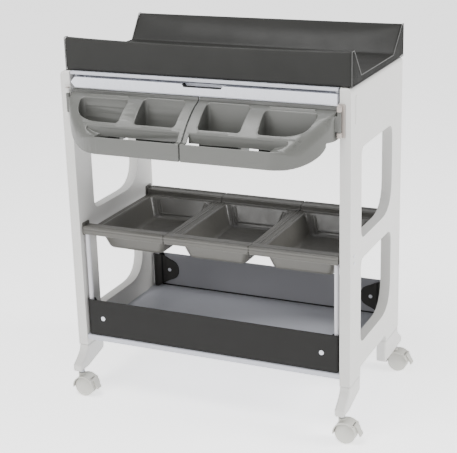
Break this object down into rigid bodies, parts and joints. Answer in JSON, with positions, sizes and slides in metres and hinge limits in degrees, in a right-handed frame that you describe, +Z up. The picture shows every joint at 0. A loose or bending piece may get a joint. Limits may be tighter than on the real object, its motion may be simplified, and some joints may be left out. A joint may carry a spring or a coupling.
{
  "type": "changing table",
  "caption": "Changing table on braked casters: padded top sliding over a shallow bath, swing-out front bins, lift-out trays and a guarded bottom shelf.",
  "frame": {"origin": "on the floor, under the centre of the bounding box", "axes": "+X to the right seen from the front, +Y towards the back, +Z up"},
  "size_m": [0.8806, 0.594, 1.004],
  "materials": {
    "white_moulded_plastic": "satin moulded",
    "white_gloss_plastic": "smooth semi-gloss",
    "white_board": "coated board, semi-gloss",
    "white_tube": "powder coat",
    "bin_grey_plastic": "fine satin moulding",
    "tray_grey_plastic": "satin moulding",
    "mat_vinyl": "wipe-clean coated fabric",
    "guard_sheet": "flexible sheet, dark outside and grey inside",
    "caster_plastic": "moulded nylon",
    "steel": "zinc plated"
  },
  "bodies": {
    "frame": {"side_panel_left": "white_moulded_plastic", "side_panel_right": "white_moulded_plastic", "foot_front_left": "white_moulded_plastic", "foot_front_right": "white_moulded_plastic", "foot_rear_left": "white_moulded_plastic", "foot_rear_right": "white_moulded_plastic", "shelf_board": "white_board", "upright_tube_front_left": "white_tube", "upright_tube_front_right": "white_tube", "upright_tube_rear_left": "white_tube", "upright_tube_rear_right": "white_tube", "shelf_guard_front": "guard_sheet", "shelf_guard_rear": "guard_sheet", "guard_rivet_front_left": "white_gloss_plastic", "guard_rivet_front_right": "white_gloss_plastic", "guard_rivet_rear_left": "white_gloss_plastic", "guard_rivet_rear_right": "white_gloss_plastic", "tray_bar_front": "steel", "tray_bar_rear": "steel", "bar_screw_lower_left": "white_gloss_plastic", "bar_screw_lower_right": "white_gloss_plastic", "bar_screw_upper_left": "white_gloss_plastic", "bar_screw_upper_right": "white_gloss_plastic", "top_rail_front": "white_gloss_plastic", "top_rail_rear": "white_gloss_plastic", "deck_runner_left": "steel", "deck_runner_right": "steel", "bath_tub": "white_gloss_plastic", "bin_hinge_bracket_left": "white_moulded_plastic", "bin_hinge_bracket_right": "white_moulded_plastic", "bin_hinge_pin_left": "steel", "bin_hinge_pin_right": "steel"},
    "deck": {"deck": "white_board"},
    "mat": {"changing_mat": "mat_vinyl"},
    "plug": {"bath_plug": "bin_grey_plastic"},
    "bin_left": {"front_bin_left": "bin_grey_plastic"},
    "bin_right": {"front_bin_right": "bin_grey_plastic"},
    "tray_left": {"tray_left": "tray_grey_plastic"},
    "tray_middle": {"tray_middle": "tray_grey_plastic"},
    "tray_right": {"tray_right": "tray_grey_plastic"},
    "caster_front_left": {"caster_stem_front_left": "steel", "caster_hood_front_left": "caster_plastic"},
    "wheels_front_left": {"caster_wheels_front_left": "caster_plastic"},
    "brake_front_left": {"caster_brake_front_left": "caster_plastic"},
    "caster_front_right": {"caster_stem_front_right": "steel", "caster_hood_front_right": "caster_plastic"},
    "wheels_front_right": {"caster_wheels_front_right": "caster_plastic"},
    "brake_front_right": {"caster_brake_front_right": "caster_plastic"},
    "caster_rear_left": {"caster_stem_rear_left": "steel", "caster_hood_rear_left": "caster_plastic"},
    "wheels_rear_left": {"caster_wheels_rear_left": "caster_plastic"},
    "brake_rear_left": {"caster_brake_rear_left": "caster_plastic"},
    "caster_rear_right": {"caster_stem_rear_right": "steel", "caster_hood_rear_right": "caster_plastic"},
    "wheels_rear_right": {"caster_wheels_rear_right": "caster_plastic"},
    "brake_rear_right": {"caster_brake_rear_right": "caster_plastic"}
  },
  "joints": [
    {"name": "deck_slide", "type": "slide", "parent": "frame", "child": "deck", "axis": [0, 1, 0], "range_m": [0, 0.28]},
    {"name": "mat_lift", "type": "slide", "parent": "deck", "child": "mat", "axis": [0, 0, 1], "range_m": [0, 0.12]},
    {"name": "plug_lift", "type": "slide", "parent": "frame", "child": "plug", "axis": [0, 0, 1], "range_m": [0, 0.04]},
    {"name": "bin_left_swing", "type": "hinge", "parent": "frame", "child": "bin_left", "pos_m": [-0.374, -0.185, 0.843], "axis": [0, 0, -1], "range_deg": [0, 90]},
    {"name": "bin_right_swing", "type": "hinge", "parent": "frame", "child": "bin_right", "pos_m": [0.374, -0.185, 0.843], "axis": [0, 0, 1], "range_deg": [0, 90]},
    {"name": "tray_left_lift", "type": "slide", "parent": "frame", "child": "tray_left", "axis": [0, 0, 1], "range_m": [0, 0.12]},
    {"name": "tray_middle_lift", "type": "slide", "parent": "frame", "child": "tray_middle", "axis": [0, 0, 1], "range_m": [0, 0.12]},
    {"name": "tray_right_lift", "type": "slide", "parent": "frame", "child": "tray_right", "axis": [0, 0, 1], "range_m": [0, 0.12]},
    {"name": "front_left_swivel", "type": "hinge", "parent": "frame", "child": "caster_front_left", "pos_m": [-0.386, -0.193, 0.07], "axis": [0, 0, 1], "continuous": true},
    {"name": "front_left_roll", "type": "hinge", "parent": "caster_front_left", "child": "wheels_front_left", "pos_m": [-0.374, -0.193, 0.028], "axis": [0, 1, 0], "continuous": true},
    {"name": "front_left_brake", "type": "hinge", "parent": "caster_front_left", "child": "brake_front_left", "pos_m": [-0.35059, -0.193, 0.04908], "axis": [0, 1, 0], "range_deg": [0, 12]},
    {"name": "front_right_swivel", "type": "hinge", "parent": "frame", "child": "caster_front_right", "pos_m": [0.386, -0.193, 0.07], "axis": [0, 0, 1], "continuous": true},
    {"name": "front_right_roll", "type": "hinge", "parent": "caster_front_right", "child": "wheels_front_right", "pos_m": [0.398, -0.193, 0.028], "axis": [0, 1, 0], "continuous": true},
    {"name": "front_right_brake", "type": "hinge", "parent": "caster_front_right", "child": "brake_front_right", "pos_m": [0.42141, -0.193, 0.04908], "axis": [0, 1, 0], "range_deg": [0, 12]},
    {"name": "rear_left_swivel", "type": "hinge", "parent": "frame", "child": "caster_rear_left", "pos_m": [-0.386, 0.273, 0.07], "axis": [0, 0, 1], "continuous": true},
    {"name": "rear_left_roll", "type": "hinge", "parent": "caster_rear_left", "child": "wheels_rear_left", "pos_m": [-0.398, 0.273, 0.028], "axis": [0, 1, 0], "continuous": true},
    {"name": "rear_left_brake", "type": "hinge", "parent": "caster_rear_left", "child": "brake_rear_left", "pos_m": [-0.42141, 0.273, 0.04908], "axis": [0, -1, 0], "range_deg": [0, 12]},
    {"name": "rear_right_swivel", "type": "hinge", "parent": "frame", "child": "caster_rear_right", "pos_m": [0.386, 0.273, 0.07], "axis": [0, 0, 1], "continuous": true},
    {"name": "rear_right_roll", "type": "hinge", "parent": "caster_rear_right", "child": "wheels_rear_right", "pos_m": [0.398, 0.273, 0.028], "axis": [0, 1, 0], "continuous": true},
    {"name": "rear_right_brake", "type": "hinge", "parent": "caster_rear_right", "child": "brake_rear_right", "pos_m": [0.42141, 0.273, 0.04908], "axis": [0, 1, 0], "range_deg": [0, 12]}
  ]
}
